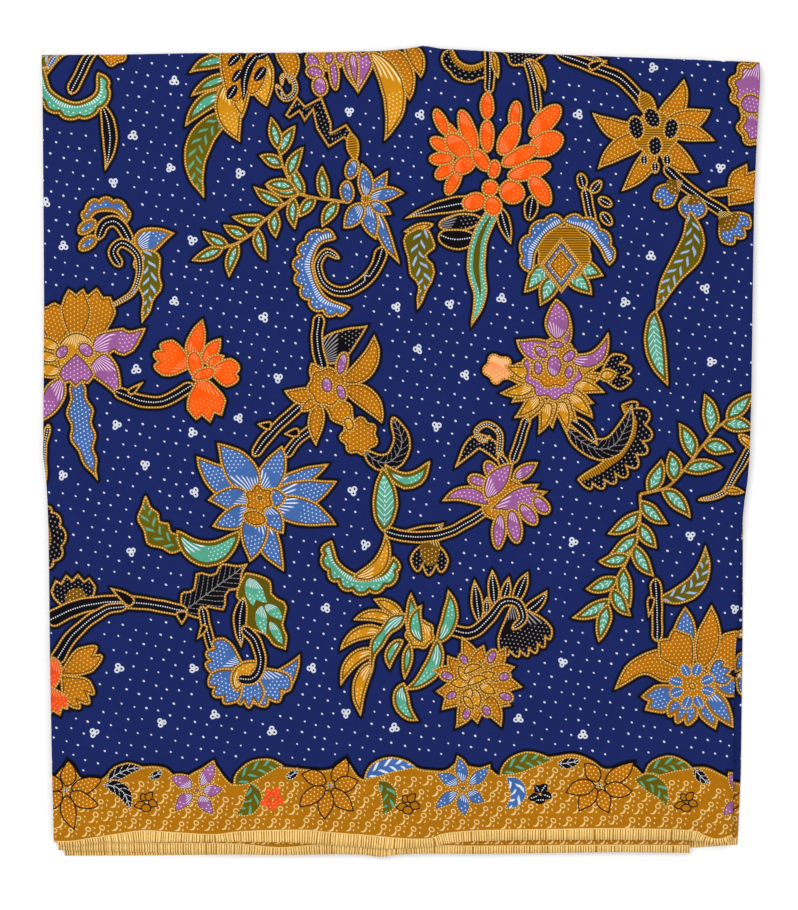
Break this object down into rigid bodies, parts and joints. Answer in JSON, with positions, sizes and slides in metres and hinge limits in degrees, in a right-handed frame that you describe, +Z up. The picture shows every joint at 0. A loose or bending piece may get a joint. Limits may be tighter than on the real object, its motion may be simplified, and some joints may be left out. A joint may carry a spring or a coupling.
{
  "type": "folded sarong",
  "caption": "Folded cotton batik sarong lying face up: front with a flower print and a gold hem border, cut end and back showing below it.",
  "frame": {"origin": "centre of the stack's bounding box, on the flat underside that it rests on", "axes": "+Z up out of the stack's face, +Y from the hems towards the long fold, +X towards the cut end, seen from above"},
  "size_m": [0.4794, 0.5424, 0.0092],
  "materials": {
    "front_panel": "plain-woven cotton, matt, navy ground",
    "end_panel": "plain-woven cotton, matt, gold border",
    "back_panel": "plain-woven cotton, matt, navy ground",
    "hidden_layers": "plain-woven cotton, matt, navy ground"
  },
  "bodies": {
    "root": {"front_panel": "front_panel", "end_panel": "end_panel", "back_panel": "back_panel", "hidden_layers": "hidden_layers"}
  },
  "joints": []
}
